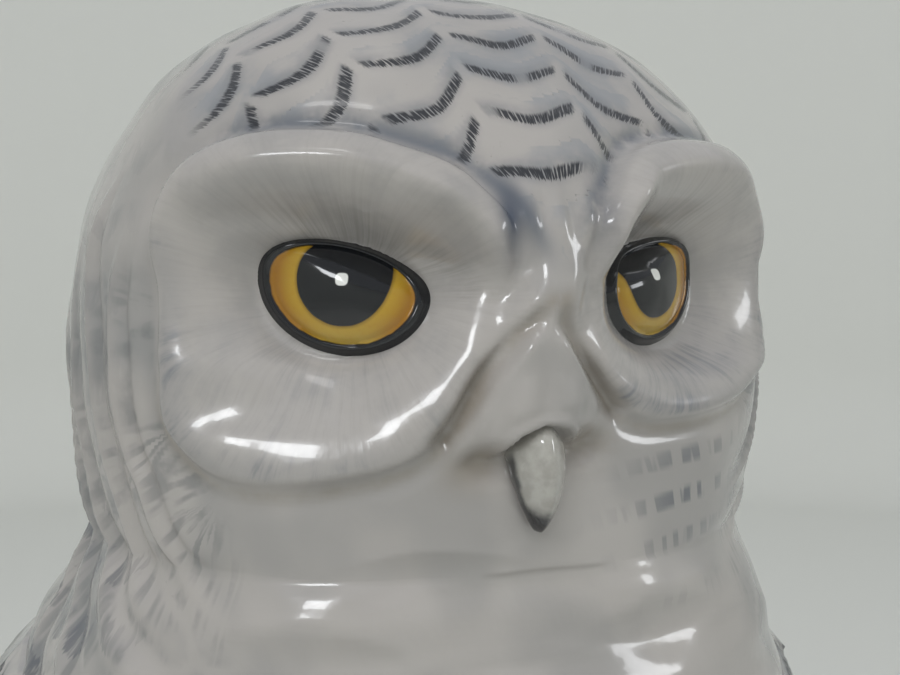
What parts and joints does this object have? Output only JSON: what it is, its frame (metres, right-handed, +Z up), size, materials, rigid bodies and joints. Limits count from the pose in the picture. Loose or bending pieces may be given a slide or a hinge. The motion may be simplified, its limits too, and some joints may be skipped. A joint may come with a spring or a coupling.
{
  "type": "owl figurine",
  "caption": "Glazed ceramic snowy owl figurine standing on a low rock base, with luted wings, tail, feet, talons, beak and eyes.",
  "frame": {"origin": "on the resting plane, at the middle of the figurine's footprint", "axes": "+Z up; the owl faces -Y and its left side is +X"},
  "size_m": [0.0932, 0.104, 0.168],
  "materials": {
    "white_glaze": "cream-white glossy glaze with blue-grey painted feather marks",
    "wing_glaze": "glossy glaze, pale blue-grey wash with dark painted bars",
    "rock_glaze": "satin grey glaze",
    "black_glaze": "glossy black glaze",
    "beak_glaze": "glossy pale grey glaze with a black tip",
    "eye_glaze": "glossy yellow-orange iris and black pupil under clear glaze"
  },
  "bodies": {
    "root": {"rock_base": "rock_glaze", "body_casting": "white_glaze", "head_casting": "white_glaze", "left_wing": "wing_glaze", "right_wing": "wing_glaze", "tail": "wing_glaze", "left_foot": "white_glaze", "right_foot": "white_glaze", "left_talons": "black_glaze", "right_talons": "black_glaze", "beak": "beak_glaze", "left_eye": "eye_glaze", "right_eye": "eye_glaze"}
  },
  "joints": []
}
